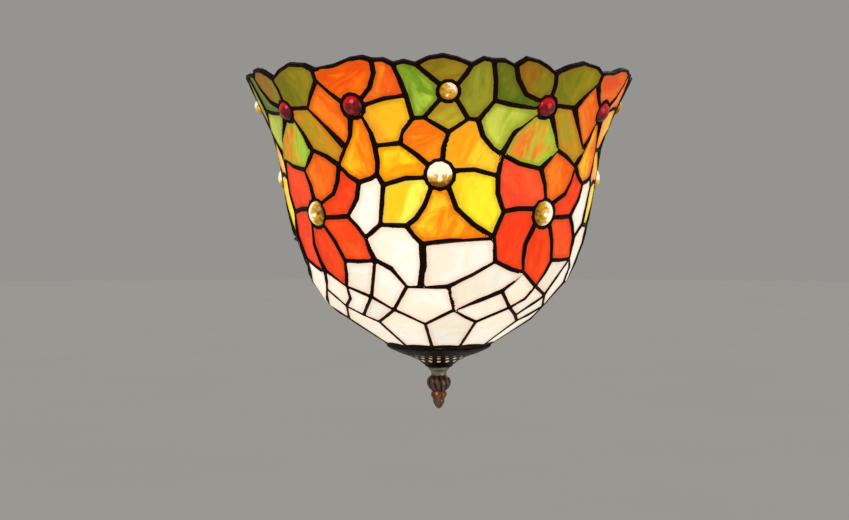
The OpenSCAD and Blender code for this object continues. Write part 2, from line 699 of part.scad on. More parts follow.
module wire_connectors() {
    for (x = [-1, 1]) color("#d8902c") translate([21 * x, 0, -12.5]) rotate([0, 90 * x, 0]) difference() {
        cylinder(r1 = 5.4, r2 = 4, h = 17);
        translate([0, 0, -1]) cylinder(r = 3.6, h = 12);
    }
}
module ground_wire() {
    color("#3c8c46") wire([
        [ground_x + 5.3, 5.6, -9], [20.5, 9, -9], [25, 14, -10], [27.5, 20, -14], [27, 25, -20],
        [25, 27, -22.9], [20.5, 27, -22.9]], 1);
}

crossbar();
ground_screw();
ground_wire();
canopy_screws();
cap_nuts();
ceiling_pan();
wire_grommets();
nipple();
lock_nut();
pan_washer();
pan_nut();
socket_bracket();
holder_screws();
rod_coupling();
centre_rod();
holder_wires();
wire_connectors();
lamp_holder_front();
lamp_holder_back();
screw_shell_front();
screw_shell_back();
contact_front();
contact_back();
bulb_glass_front();
bulb_glass_back();
bulb_cap_front();
bulb_cap_back();
bulb_tip_front();
bulb_tip_back();
leading();
bottom_ring();
red_jewels();
clear_jewels();
orange_flower_1();
orange_flower_2();
orange_flower_3();
orange_flower_4();
green_flower_1();
green_flower_2();
green_flower_3();
green_flower_4();
leaf_flower_1();
leaf_flower_2();
leaf_flower_3();
leaf_flower_4();
yellow_flower_1();
yellow_flower_2();
yellow_flower_3();
yellow_flower_4();
red_flower_1();
red_flower_2();
red_flower_3();
red_flower_4();
white_glass_1();
white_glass_2();
white_glass_3();
white_glass_4();
vented_cap();
cap_washer();
finial();
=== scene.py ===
"""Looks of the stained glass ceiling light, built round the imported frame. Lengths are in metres."""

import json
import math
import random

import bmesh
import bpy
from mathutils import Matrix, Vector, noise


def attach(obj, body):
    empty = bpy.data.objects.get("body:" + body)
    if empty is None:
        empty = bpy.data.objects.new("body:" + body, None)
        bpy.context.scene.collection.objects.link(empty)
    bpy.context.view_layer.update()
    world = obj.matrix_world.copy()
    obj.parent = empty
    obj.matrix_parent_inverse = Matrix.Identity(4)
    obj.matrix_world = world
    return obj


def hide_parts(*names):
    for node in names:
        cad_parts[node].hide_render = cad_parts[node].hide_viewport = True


MM = 0.001
UP = Vector((0, 0, 1))

GLASS_T = 3 * MM

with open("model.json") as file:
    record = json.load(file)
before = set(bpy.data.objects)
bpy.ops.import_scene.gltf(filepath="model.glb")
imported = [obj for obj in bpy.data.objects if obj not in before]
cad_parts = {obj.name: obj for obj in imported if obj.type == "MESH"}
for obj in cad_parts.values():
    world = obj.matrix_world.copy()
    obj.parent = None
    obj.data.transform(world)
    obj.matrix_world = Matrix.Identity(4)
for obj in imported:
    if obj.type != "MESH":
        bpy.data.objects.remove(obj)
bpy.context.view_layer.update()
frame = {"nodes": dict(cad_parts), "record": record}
NODES = frame["nodes"]
JOINTS = {joint["name"]: joint for joint in frame["record"]["behaviour"]["joints"]}
BODY_OF = {node: body for body, nodes in frame["record"]["behaviour"]["bodies"].items() for node in nodes}
SLOT_OF = {part["node"]: part["material_slot"] for part in frame["record"]["subparts"]}


# ---- Small helpers ----

def srgb(red, green, blue):
    """A colour given as on a screen, 0 to 255, as the linear numbers that shaders take."""
    def linear(c):
        c /= 255
        return c / 12.92 if c <= 0.04045 else ((c + 0.055) / 1.055) ** 2.4
    return (linear(red), linear(green), linear(blue), 1)


def smooth_shading(mesh, angle=35):
    for polygon in mesh.polygons:
        polygon.use_smooth = True
    mesh.set_sharp_from_angle(angle=math.radians(angle))


def new_piece(name, mesh, material, body, slot, *nodes):
    """A piece with its material, on its body, that stands for these CAD nodes."""
    mesh.materials.clear()
    mesh.materials.append(material)
    piece = bpy.data.objects.new(name, mesh)
    bpy.context.scene.collection.objects.link(piece)
    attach(piece, body)
    if nodes:
        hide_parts(*nodes)
    return piece


def mesh_from(bm, name, angle=35):
    mesh = bpy.data.meshes.new(name)
    bm.to_mesh(mesh)
    bm.free()
    smooth_shading(mesh, angle)
    return mesh


def welded(node):
    """A bmesh of a CAD node with its seams joined."""
    bm = bmesh.new()
    bm.from_mesh(NODES[node].data)
    bmesh.ops.remove_doubles(bm, verts=bm.verts, dist=1e-6)
    return bm


def shells(node):
    """The bmesh of a CAD node, and its separate solids in their CAD order, each as its list of faces."""
    bm = welded(node)
    bm.normal_update()
    left = set(bm.faces)
    found = []
    for first in bm.faces:
        if first not in left:
            continue
        left.remove(first)
        stack = [first]
        solid = []
        while stack:
            face = stack.pop()
            solid.append(face)
            for edge in face.edges:
                for other in edge.link_faces:
                    if other in left:
                        left.remove(other)
                        stack.append(other)
        found.append(solid)
    return bm, found


def flat_side(solid, outward):
    """Of a prism's faces, the ones on its flat side that looks outward, and that side's normal."""
    biggest = max(solid, key=lambda face: face.calc_area())
    normal = biggest.normal.copy()
    if normal.dot(outward) < 0:
        normal.negate()
    return [face for face in solid if face.normal.dot(normal) > 0.999], normal


def border(faces):
    """The outline of a patch of faces, as points in order, anticlockwise about their normals."""
    inside = set(faces)
    after = {}
    for face in faces:
        for loop in face.loops:
            if sum(f in inside for f in loop.edge.link_faces) == 1:
                after[loop.vert] = loop.link_loop_next.vert
    start = next(iter(after))
    points = [start.co.copy()]
    vert = after[start]
    while vert is not start:
        points.append(vert.co.copy())
        vert = after[vert]
    return points


def plane_frame(centre, normal):
    """Places flat work: x goes sideways round the shade, y up it and z out of it."""
    side = UP.cross(normal).normalized()
    up = normal.cross(side)
    place = Matrix((side, up, normal)).transposed().to_4x4()
    place.translation = centre
    return place


def axis_frame(origin, axis):
    """A frame whose z goes along an axis."""
    axis = Vector(axis).normalized()
    side = Vector((1, 0, 0))
    place = Matrix((side, axis.cross(side), axis)).transposed().to_4x4()
    place.translation = Vector(origin)
    return place


# ---- Materials ----

class Look:
    """A procedural material, with short calls that add nodes to it."""

    def __init__(self, name, **values):
        self.material = bpy.data.materials.new(name)
        self.material.use_nodes = True
        self.nodes = self.material.node_tree.nodes
        self.links = self.material.node_tree.links
        self.shader = self.nodes["Principled BSDF"]
        for socket, value in values.items():
            self.shader.inputs[socket.replace("_", " ")].default_value = value

    def put(self, socket, value):
        """Sets a socket to a number or colour, or links it to another node's output."""
        if isinstance(value, bpy.types.NodeSocket):
            self.links.new(value, socket)
        else:
            socket.default_value = value

    def node(self, kind, inputs=(), **settings):
        made = self.nodes.new("ShaderNode" + kind)
        for name, value in settings.items():
            setattr(made, name, value)
        for key, value in dict(inputs).items():
            self.put(made.inputs[key], value)
        return made

    def where(self):
        """The point in the row frame. Every piece keeps its object at the origin."""
        return self.node("TexCoord").outputs["Object"]

    def attribute(self, name, kind="Color"):
        return self.node("Attribute", attribute_name=name).outputs[kind]

    def noise(self, vector, scale, detail=3.0, rough=0.55, distortion=0.0):
        inputs = {"Vector": vector, "Scale": scale, "Detail": detail}
        inputs.update({"Roughness": rough, "Distortion": distortion})
        return self.node("TexNoise", inputs).outputs["Fac"]

    def ramp(self, value, low, high, to_low=0.0, to_high=1.0):
        inputs = {"Value": value, "From Min": low, "From Max": high, "To Min": to_low, "To Max": to_high}
        return self.node("MapRange", inputs).outputs["Result"]

    def mix(self, share, one, other):
        made = self.node("Mix", data_type="RGBA")
        for index, value in ((0, share), (6, one), (7, other)):
            self.put(made.inputs[index], value)
        return made.outputs[2]

    def maths(self, operation, one, other=0.0):
        return self.node("Math", {0: one, 1: other}, operation=operation).outputs[0]

    def scaled(self, colour, by):
        made = self.node("VectorMath", operation="SCALE")
        self.put(made.inputs[0], colour)
        self.put(made.inputs["Scale"], by)
        return made.outputs["Vector"]

    def to_nearest(self, places):
        """The distance from a point to the nearest of some places."""
        nearest = None
        for place in places:
            far = self.node("VectorMath", {0: self.where(), 1: place}, operation="DISTANCE").outputs["Value"]
            nearest = far if nearest is None else self.maths("MINIMUM", nearest, far)
        return nearest

    def bump(self, height, strength, distance):
        inputs = {"Height": height, "Strength": strength, "Distance": distance}
        self.put(self.shader.inputs["Normal"], self.node("Bump", inputs).outputs["Normal"])

    def roughness(self, pattern, low, high):
        self.put(self.shader.inputs["Roughness"], self.ramp(pattern, 0.3, 0.7, low, high))

    def colour(self, value):
        self.put(self.shader.inputs["Base Color"], value)

    def glow(self, value, strength):
        self.put(self.shader.inputs["Emission Color"], value)
        self.shader.inputs["Emission Strength"].default_value = strength


def metal(name, dark, light, rough, metallic=1.0):
    """A metal whose colour and roughness vary in patches, with a fine grain."""
    look = Look(name, Metallic=metallic)
    at = look.where()
    patches = look.noise(at, 90.0, 4.0, 0.6)
    look.colour(look.mix(look.ramp(patches, 0.35, 0.68), dark, light))
    look.roughness(patches, rough + 0.125, rough - 0.125)
    look.bump(look.noise(at, 1400.0, 3.0), 0.25, 0.0002)
    return look.material


def plastic(name, colour, rough):
    """A moulded plastic or rubber with a slight mottle and a fine grain."""
    look = Look(name)
    at = look.where()
    darker = tuple(c * 0.7 for c in colour[:3]) + (1,)
    look.colour(look.mix(look.noise(at, 120.0, 3.0), darker, colour))
    look.roughness(look.noise(at, 60.0), rough - 0.08, rough + 0.08)
    look.bump(look.noise(at, 900.0, 2.0), 0.15, 0.0002)
    return look.material


def bulb_centres():
    """Where the two bulbs' globes are, from their CAD solids."""
    return [globe_centre(side) for side in ("front", "back")]


def axis_of(side):
    """The frame of a bulb's axis, with z towards its top."""
    joint = JOINTS["bulb_" + side + "_turn"]
    return axis_frame(joint["pos_m"], joint["axis"])


def extent(node, place):
    """How far a node reaches along the z of a frame, and from that axis: (low, high, nearest, farthest)."""
    back = place.inverted()
    points = [back @ vertex.co for vertex in NODES[node].data.vertices]
    radii = [math.hypot(p.x, p.y) for p in points]
    return min(p.z for p in points), max(p.z for p in points), min(radii), max(radii)


def globe_centre(side):
    """The middle of a bulb's round end."""
    place = axis_of(side)
    high, radius = extent("bulb_glass_" + side, place)[1::2]
    return place @ Vector((0, 0, high - radius))


def lit_glass(name):
    """Opalescent glass with the lamp on behind it: each pane's two colours run in streaks along its own
    direction, yellower wisps lie over them, it glows more near a bulb, and near its edge it turns to a
    darker, warmer border colour, a painted shade next to the solder."""
    look = Look(name, Roughness=0.2, Coat_Weight=0.03, Coat_Roughness=0.05, Specular_IOR_Level=0.12)
    flow = look.attribute("flow", "Vector")
    streaks = look.noise(flow, 1.0, 2.5, 0.5, 1.3)
    wisps = look.noise(flow, 2.3, 4.0, 0.6, 0.8)
    side = look.maths("ADD", streaks, look.attribute("side", "Fac"))
    body = look.mix(look.ramp(side, 0.4, 0.6), look.attribute("hue"), look.attribute("streak"))
    body = look.mix(look.ramp(wisps, 0.5, 0.8, 0.0, 0.2), body, look.attribute("wisp"))
    glow = look.ramp(look.to_nearest(bulb_centres()), 0.045, 0.18, 1.16, 0.8)
    swing = 0.03 if name == "white_glass" else 0.09
    glow = look.maths("MULTIPLY", glow, look.ramp(wisps, 0.3, 0.7, 1 - swing, 1 + swing))
    # Near its edge a pane turns to its border colour, darker and warmer: painted shade next to the solder
    rim = look.attribute("edge", "Fac")
    body = look.mix(look.ramp(rim, 0.0008, 0.0034, 0.8, 0.0), body, look.attribute("border"))
    look.glow(look.scaled(body, glow), 0.96 if name == "white_glass" else 0.98)
    look.colour(look.scaled(body, 0.03))
    look.bump(look.noise(flow, 2.2, 3.0), 0.22, 0.0012)
    return look.material


def jewel_glass(name, deep, middle, bright, strength):
    """Pressed glass lit from behind: from a deep tone, painted shade, through a middle one to a bright one,
    across swirls. The gleam of a point, painted light from the bulbs, grows towards the painted bright side
    of its jewel."""
    look = Look(name, Roughness=0.1, Specular_IOR_Level=0.3, Coat_Weight=0.35, Coat_Roughness=0.03)
    swirls = look.noise(look.where(), 190.0, 2.0, 0.5, 1.4)
    gleam = look.maths("ADD", look.attribute("gleam", "Fac"), look.ramp(swirls, 0.3, 0.7, -0.35, 0.35))
    body = look.mix(look.ramp(gleam, -0.7, -0.05), deep, middle)
    body = look.mix(look.ramp(gleam, 0.05, 0.42), body, bright)
    look.glow(body, strength)
    look.colour(look.scaled(body, 0.15))
    look.bump(look.noise(look.where(), 420.0, 2.0), 0.12, 0.0004)
    return look.material


def cap_look():
    """Near-black bronze, for the ceiling pan and the pierced cap. The cap's inside and its holes catch
    the bulbs' light."""
    look = Look("dark_bronze", Metallic=0.35, Specular_IOR_Level=0.08)
    at = look.where()
    patches = look.noise(at, 140.0, 4.0, 0.6)
    look.colour(look.mix(look.ramp(patches, 0.35, 0.7), srgb(9, 6, 5), srgb(30, 21, 16)))
    look.roughness(patches, 0.52, 0.36)
    normal = look.node("TexCoord").outputs["Normal"]
    rise = look.node("SeparateXYZ", {0: normal}).outputs["Z"]
    height = look.node("SeparateXYZ", {0: at}).outputs["Z"]
    inside = look.maths("MULTIPLY", look.ramp(rise, -0.25, -0.1), look.ramp(height, -0.2222, -0.2236))
    lit = look.mix(look.ramp(patches, 0.3, 0.7), srgb(214, 164, 100), srgb(255, 234, 196))
    look.glow(look.mix(inside, (0, 0, 0, 1), lit), 0.7)
    look.bump(look.noise(at, 1400.0, 3.0), 0.25, 0.0002)
    return look.material


def finial_look():
    """Cast brass under a dark wash: greyer on the finial's neck, darkest on its bulb, warm on its collar
    and rubbed on its raised lines. The ring, the nuts and the washer higher up are dark all over."""
    look = Look("antique_brass", Metallic=0.8)
    at = look.where()
    height = look.node("SeparateXYZ", {0: at}).outputs["Z"]
    patches = look.noise(at, 420.0, 4.0, 0.6)
    tone = look.mix(look.ramp(height, -0.2403, -0.2388), srgb(66, 48, 46), srgb(168, 160, 138))
    tone = look.mix(look.ramp(height, -0.2515, -0.2535), tone, srgb(140, 78, 40))
    tone = look.mix(look.ramp(height, -0.2585, -0.2600), tone, srgb(112, 88, 70))
    tone = look.mix(look.ramp(height, -0.2345, -0.2330), tone, srgb(40, 30, 24))
    worn = look.ramp(look.attribute("raised", "Fac"), 0.45, 0.95)
    tone = look.mix(look.maths("MULTIPLY", worn, 0.6), tone, srgb(196, 150, 110))
    look.colour(look.mix(look.ramp(patches, 0.45, 0.75, 0.0, 0.6), tone, srgb(30, 22, 24)))
    look.roughness(patches, 0.3, 0.48)
    look.bump(look.noise(at, 1100.0, 3.0), 0.3, 0.0003)
    return look.material


def solder_look():
    """Solder under a near-black patina with duller and brighter spots, warmed by the lit glass."""
    look = Look("solder", Metallic=0.3, Specular_IOR_Level=0.08)
    at = look.where()
    spots = look.noise(at, 260.0, 4.0, 0.6)
    look.colour(look.mix(look.ramp(spots, 0.4, 0.75), srgb(5, 3, 2), srgb(24, 14, 10)))
    look.roughness(spots, 0.58, 0.4)
    look.glow(srgb(34, 12, 5), 0.3)
    look.bump(look.noise(at, 700.0, 3.0), 0.25, 0.0004)
    return look.material


def bulb_look():
    """A frosted bulb, lit, and warmer towards the neck."""
    look = Look("bulb_glass", Roughness=0.35)
    at = look.where()
    neck = look.ramp(look.to_nearest(bulb_centres()), 0.0225, 0.032)
    frost = look.ramp(look.noise(at, 900.0, 2.0), 0.3, 0.7, 0.96, 1.04)
    warm = look.mix(neck, srgb(255, 240, 208), srgb(250, 178, 96))
    look.glow(look.scaled(warm, frost), 1.2)
    look.colour(srgb(240, 236, 228))
    look.bump(look.noise(at, 1600.0, 2.0), 0.1, 0.0001)
    return look.material


LOOKS = {
    "bright_steel": metal("bright_steel", srgb(120, 120, 116), srgb(184, 184, 178), 0.32),
    "green_screw": metal("green_screw", srgb(18, 70, 30), srgb(34, 110, 52), 0.4, metallic=0.6),
    "yellow_brass": metal("yellow_brass", srgb(150, 116, 56), srgb(206, 170, 96), 0.28),
    "antique_brass": finial_look(),
    "dark_bronze": cap_look(),
    "bulb_metal": metal("bulb_metal", srgb(150, 150, 148), srgb(206, 206, 202), 0.26),
    "black_moulding": plastic("black_moulding", srgb(34, 30, 28), 0.3),
    "black_rubber": plastic("black_rubber", srgb(30, 30, 31), 0.6),
    "green_cover": plastic("green_cover", srgb(40, 120, 60), 0.35),
    "orange_cap": plastic("orange_cap", srgb(222, 128, 40), 0.45),
    "wire_cover": plastic("wire_cover", srgb(120, 118, 114), 0.35),
    "solder": solder_look(),
    "red_jewel": jewel_glass("red_jewel", srgb(40, 0, 3), srgb(122, 3, 8), srgb(200, 8, 18), 0.85),
    "clear_jewel": jewel_glass("clear_jewel", srgb(112, 66, 8), srgb(214, 158, 30), srgb(255, 244, 214), 1.0),
    "bulb_glass": bulb_look(),
}
for glass in ("orange", "green", "leaf", "yellow", "red", "white"):
    LOOKS[glass + "_glass"] = lit_glass(glass + "_glass")


# ---- The panes ----
# For each kind of flower: its jewel's CAD node, and for each petal the direction it lies in from the
# jewel, in degrees anticlockwise, its two colours, and the direction that its streaks run in.

WHITE = ((255, 248, 232), (255, 241, 216))
PETALS = {
    "orange": ("red_jewels", [
        (95, (252, 112, 10), (240, 80, 8), 20), (20, (248, 92, 22), (255, 132, 30), 70),
        (-25, (255, 190, 30), (252, 160, 40), 110), (-85, (254, 124, 12), (255, 186, 24), 92),
        (-160, (246, 100, 16), (255, 128, 28), 130)]),
    "green": ("clear_jewels", [
        (182, (112, 150, 30), (170, 196, 60), 120), (90, (152, 128, 26), (128, 112, 20), 20),
        (0, (152, 150, 38), (128, 132, 30), 75), (-90, (192, 174, 38), (176, 140, 34), 30)]),
    "leaf": ("red_jewels", [
        (167, (82, 112, 20), (108, 112, 22), 60), (115, (134, 124, 22), (150, 100, 18), 90),
        (45, (156, 138, 20), (122, 118, 22), 100), (-17, (206, 138, 26), (176, 150, 34), 125),
        (-92, (160, 206, 54), (236, 126, 28), 70), (-157, (168, 184, 50), (196, 202, 76), 80)]),
    "yellow": ("clear_jewels", [
        (110, (250, 140, 18), (252, 108, 12), 20), (47, (255, 200, 44), (255, 158, 20), 65),
        (-20, (255, 232, 44), (255, 204, 30), 80), (-90, (250, 134, 12), (255, 196, 34), 60),
        (-147, (255, 240, 84), (255, 200, 30), 70), (165, (252, 158, 8), (255, 204, 30), 15)]),
    "red": ("clear_jewels", [
        (67, (252, 100, 18), (254, 122, 30), 100), (15, (254, 72, 26), (244, 58, 20), 30),
        (-32, (254, 70, 25), (250, 86, 30), 120), (-92, (254, 74, 26), (240, 60, 20), 90),
        (-167, (252, 68, 24), (244, 58, 20), 60), (125, (254, 78, 28), (248, 62, 22), 130)]),
}

# The tone at the edge of a white pane: peach, a painted shade next to the solder
PEACH_EDGE_SHADE = (250, 214, 186)

# How far a pane reaches under the solder, how fine it is cut, how high its ripples are, and how closely
# its streaks follow each other along and across, in waves to the metre
PANE_GROWS = 1.1 * MM
GRID = 3.2 * MM
RIPPLE = 0.14 * MM
WAVES_ALONG = 30
WAVES_ACROSS = 72


def grown(outline, by):
    """A flat outline, anticlockwise, moved outward by a distance."""
    made = []
    for i, point in enumerate(outline):
        before = (point - outline[i - 1]).normalized()
        after = (outline[(i + 1) % len(outline)] - point).normalized()
        out = Vector((before.y + after.y, -before.x - after.x))
        if out.length < 0.5:
            made.append(point + by * Vector((before.y, -before.x)))
        else:
            made.append(point + out.normalized() * by * min(2.0, 2 / out.length))
    return made


def edge_distance(point, outline):
    """How far a flat point is from an outline."""
    best = 1.0
    for i, end in enumerate(outline):
        start = outline[i - 1]
        along = end - start
        t = max(0.0, min(1.0, (point - start).dot(along) / along.length_squared))
        best = min(best, (start + t * along - point).length)
    return best


def add_pane(into, outline, place, thick, colours, turn, seed, edge_shade_colour):
    """Adds one pane, cut fine enough to ripple, with the attributes that its glass look reads."""
    draw = random.Random(seed)
    layers = {name: into.verts.layers.float_color[name] for name in ("hue", "streak", "wisp", "border")}
    flow = into.verts.layers.float_vector["flow"]
    edge, half = into.verts.layers.float["edge"], into.verts.layers.float["side"]
    reach = max(p.length for p in outline)
    shape = grown(outline, PANE_GROWS)
    sheet = bmesh.new()
    sheet.faces.new([sheet.verts.new((p.x, p.y, 0)) for p in shape])
    for axis in (0, 1):
        low = min(p[axis] for p in shape)
        high = max(p[axis] for p in shape)
        cuts = max(2, round((high - low) / GRID))
        for i in range(1, cuts):
            at = Vector((0, 0, 0))
            at[axis] = low + (high - low) * i / cuts
            across = Vector((0, 0, 0))
            across[axis] = 1
            geometry = sheet.verts[:] + sheet.edges[:] + sheet.faces[:]
            bmesh.ops.bisect_plane(sheet, geom=geometry, plane_co=at, plane_no=across, dist=1e-7)
    wobble = [draw.uniform(-9, 9) for _ in range(3)]
    shade = 1 + draw.uniform(-0.05, 0.05)
    c, s = math.cos(math.radians(turn)), math.sin(math.radians(turn))
    tints = {
        "hue": srgb(*colours[0]), "streak": srgb(*colours[1]), "border": srgb(*edge_shade_colour),
        "wisp": srgb(*[c * 0.65 + d * 0.35 for c, d in zip(colours[1], (255, 222, 90))])}
    made = {}
    for vert in sheet.verts:
        p = vert.co
        lift = RIPPLE * noise.noise(Vector((p.x * 110 + wobble[0], p.y * 110 + wobble[1], wobble[2])))
        near = edge_distance(p.xy, outline)
        for side in (1, -1):
            new = into.verts.new(place @ Vector((p.x, p.y, side * thick / 2 + lift)))
            for name, tint in tints.items():
                new[layers[name]] = tuple(v * shade for v in tint[:3]) + (1,)
            along, across = p.x * c + p.y * s, p.y * c - p.x * s
            waves = (along * WAVES_ALONG + wobble[0], across * WAVES_ACROSS + wobble[1], wobble[2])
            new[flow] = Vector(waves)
            new[edge] = near
            new[half] = max(-0.22, min(0.22, across / reach * 0.3))
            made[vert, side] = new
    for face in sheet.faces:
        corners = list(face.verts)
        into.faces.new([made[v, 1] for v in corners])
        into.faces.new([made[v, -1] for v in reversed(corners)])
    for rim in sheet.edges:
        if rim.is_boundary:
            a, b = rim.link_loops[0].vert, rim.link_loops[0].link_loop_next.vert
            into.faces.new([made[b, 1], made[a, 1], made[a, -1], made[b, -1]])
    sheet.free()


def jewel_places():
    """Where each jewel sits: its node's name, the frame of its flat back, its radius and its height."""
    places = []
    for node in ("red_jewels", "clear_jewels"):
        bm, solids = shells(node)
        for solid in solids:
            points = [v.co for face in solid for v in face.verts]
            middle = sum(points, Vector()) / len(points)
            outward = Vector((middle.x, middle.y, 0)).normalized()
            back, normal = flat_side(solid, -outward)
            rim = border(back)
            centre = sum(rim, Vector()) / len(rim)
            height = max((p - centre).dot(-normal) for p in points)
            places.append((node, plane_frame(centre, -normal), (rim[0] - centre).length, height))
        bm.free()
    return places


JEWELS = jewel_places()


def nearest_jewel(node, point):
    """The jewel of this node that is nearest to a point, as jewel_places gives it."""
    return min((j for j in JEWELS if j[0] == node), key=lambda j: (j[1].translation - point).length)


def pane_outlines(node):
    """For each pane of a CAD node: its frame, flat outline and thickness."""
    bm, solids = shells(node)
    for solid in solids:
        points = [v.co for face in solid for v in face.verts]
        middle = sum(points, Vector()) / len(points)
        face, normal = flat_side(solid, Vector((middle.x, middle.y, 0)))
        rim = border(face)
        thick = max((rim[0] - p).dot(normal) for p in points)
        centre = sum(rim, Vector()) / len(rim)
        place = plane_frame(centre - normal * thick / 2, normal)
        back = place.inverted()
        yield place, [(back @ p).xy for p in rim], thick
    bm.free()


def glass_sheet():
    """An empty bmesh with the attributes of a pane."""
    bm = bmesh.new()
    for layer in ("hue", "streak", "wisp", "border"):
        bm.verts.layers.float_color.new(layer)
    bm.verts.layers.float_vector.new("flow")
    bm.verts.layers.float.new("edge")
    bm.verts.layers.float.new("side")
    return bm


def glaze(node, kind, number):
    """Replaces one CAD node of panes by its glass."""
    bm = glass_sheet()
    for index, (place, outline, thick) in enumerate(pane_outlines(node)):
        seed = 1000 * number + 37 * index + len(kind)
        if kind == "white":
            add_pane(bm, outline, place, thick, WHITE, 30 * index, seed, PEACH_EDGE_SHADE)
            continue
        jewel_node, petals = PETALS[kind]
        jewel = nearest_jewel(jewel_node, place.translation)
        offset = jewel[1].inverted() @ place.translation
        way = math.degrees(math.atan2(offset.y, offset.x))
        petal = min(petals, key=lambda p: abs((p[0] - way + 180) % 360 - 180))
        # A coloured pane's border colour is darker and redder: painted shade next to the solder
        shaded = [c * 0.74 + d * 0.12 for c, d in zip(petal[1], (220, 70, 20))]
        add_pane(bm, outline, place, thick, petal[1:3], petal[3], seed, shaded)
    slot = kind + "_glass"
    new_piece("glass_" + node, mesh_from(bm, node), LOOKS[slot], BODY_OF[node], slot, node)


for kind in ("orange", "green", "leaf", "yellow", "red"):
    for number in range(1, 5):
        glaze(f"{kind}_flower_{number}", kind, number)
for number in range(1, 5):
    glaze(f"white_glass_{number}", "white", number)


# ---- Solder ----

def solder_net():
    """The net as solder sets: swelled over the glass edges, and melted by voxels into one uneven bead."""
    mesh = bpy.data.meshes.new("net")
    bm = welded("leading")
    bm.to_mesh(mesh)
    bm.free()
    rough = bpy.data.objects.new("net", mesh)
    bpy.context.scene.collection.objects.link(rough)
    swell = rough.modifiers.new("swell", "DISPLACE")
    swell.strength = 0.3 * MM
    swell.mid_level = 0
    voxels = rough.modifiers.new("voxels", "REMESH")
    voxels.mode = "VOXEL"
    voxels.voxel_size = 0.6 * MM
    melt = rough.modifiers.new("melt", "SMOOTH")
    melt.factor = 0.5
    melt.iterations = 5
    lumps = bpy.data.textures.new("lumps", "CLOUDS")
    lumps.noise_scale = 0.009
    uneven = rough.modifiers.new("uneven", "DISPLACE")
    uneven.texture = lumps
    uneven.texture_coords = "LOCAL"
    uneven.strength = 0.5 * MM
    ready = bpy.data.meshes.new_from_object(rough.evaluated_get(bpy.context.evaluated_depsgraph_get()))
    bpy.data.objects.remove(rough)
    smooth_shading(ready, 80)
    new_piece("solder_net", ready, LOOKS["solder"], BODY_OF["leading"], "solder", "leading")


solder_net()


# ---- Turned and threaded pieces ----

def lathe(name, profile, place, segments=64, shape=None, angle=35):
    """A mesh turned from a profile of (radius, height) points. shape(angle, r, z) may add relief."""
    bm = bmesh.new()
    rows = []
    for r, z in profile:
        row = []
        for k in range(segments):
            a = 2 * math.pi * k / segments
            rr, zz = shape(a, r, z) if shape else (r, z)
            row.append(bm.verts.new(place @ Vector((rr * math.cos(a), rr * math.sin(a), zz))))
        rows.append(row)
    for one, two in zip(rows, rows[1:]):
        for k in range(segments):
            n = (k + 1) % segments
            bm.faces.new([one[k], one[n], two[n], two[k]])
    bmesh.ops.remove_doubles(bm, verts=bm.verts, dist=1e-7)
    bmesh.ops.recalc_face_normals(bm, faces=bm.faces)
    return mesh_from(bm, name, angle)


def bend(r, z, size, start, end, steps=5):
    """An arc of a profile round (r, z), from one angle to another, in degrees."""
    angles = [math.radians(start + (end - start) * i / steps) for i in range(steps + 1)]
    return [(r + size * math.cos(a), z + size * math.sin(a)) for a in angles]


def lean_of(node, centre):
    """Which way across a jewel its painted bright side lies, and how bright its middle is painted."""
    if node == "red_jewels":
        return Vector((-0.3, 0.8)), -0.15
    if centre.z > -0.05:
        return Vector((0.35, 0.5)), -0.2
    if centre.z > -0.1:
        return Vector((0, 1.5)), 0.35
    return Vector((1.1 * math.copysign(1, -centre.x * centre.y), 0.1)), 0.25


def domed_jewels():
    """Each jewel: a smooth pressed dome on a drum with softened edges, and one painted highlight in it."""
    for node in ("red_jewels", "clear_jewels"):
        bm = bmesh.new()
        gleam = bm.verts.layers.float.new("gleam")
        for _, place, radius, height in (j for j in JEWELS if j[0] == node):
            dome = height - GLASS_T
            ball = (radius ** 2 + dome ** 2) / (2 * dome)
            top = math.asin(min(1, radius / ball))
            steps = [top * i / 14 for i in range(15)]
            profile = [(ball * math.sin(t), height - ball + ball * math.cos(t)) for t in steps]
            profile += [(radius, 0.8 * MM), *bend(radius - 0.8 * MM, 0.8 * MM, 0.8 * MM, 0, -90), (0, 0)]
            mesh = lathe("jewel", profile, place, 64)
            lean, base = lean_of(node, place.translation)
            back = place.inverted()
            known = len(bm.verts)
            bm.from_mesh(mesh)
            bm.verts.ensure_lookup_table()
            for vert in bm.verts[known:]:
                at = (back @ vert.co).xy / radius
                # A painted highlight: one bright spot in the jewel, added to its painted gleam
                painted_highlight = math.exp(-((at + 0.32 * lean.normalized()).length / 0.16) ** 2)
                vert[gleam] = base + at.dot(lean) + painted_highlight
            bpy.data.meshes.remove(mesh)
        slot = SLOT_OF[node]
        new_piece("domed_" + node, mesh_from(bm, node, 40), LOOKS[slot], BODY_OF[node], slot, node)


domed_jewels()


# Down the finial, in millimetres: (radius, height), then how deep its carving is and how many leaves
FINIAL = [
    (8.4, -233.5, 0, 0), (8.4, -234.4, 0, 0), (8.1, -235.1, 0, 0), (7.3, -235.9, 0, 0), (6.5, -237, 0, 0),
    (6.1, -238.2, 0, 0), (6, -239.4, 0, 0), (6.1, -240.2, 0, 0), (7.2, -240.9, 0.2, 12), (8.3, -242, 0.5, 12),
    (9.2, -243.6, 0.6, 12), (9.4, -245.6, 0.6, 12), (9.2, -247.4, 0.6, 12), (8.5, -249.2, 0.6, 12),
    (7.4, -250.8, 0.5, 12), (6.2, -252, 0.3, 12), (5.2, -252.7, 0, 6), (5.5, -253.4, 0.4, 6),
    (6.1, -254.8, 0.7, 6), (6.1, -256.2, 0.8, 6), (5.6, -257.6, 0.6, 6), (4.9, -258.6, 0.2, 6),
    (4.6, -259.4, 0.4, 9), (4.4, -261, 0.5, 9), (3.8, -262.8, 0.5, 9), (2.9, -264.6, 0.4, 9),
    (1.7, -266.2, 0.2, 9), (0.6, -266.9, 0, 9), (0.0, -267, 0, 9)]
FINIAL_SIDES = 96
# How far its leaves turn round it on their way down, in radians to the millimetre
LEAF_LEAN = 0.16


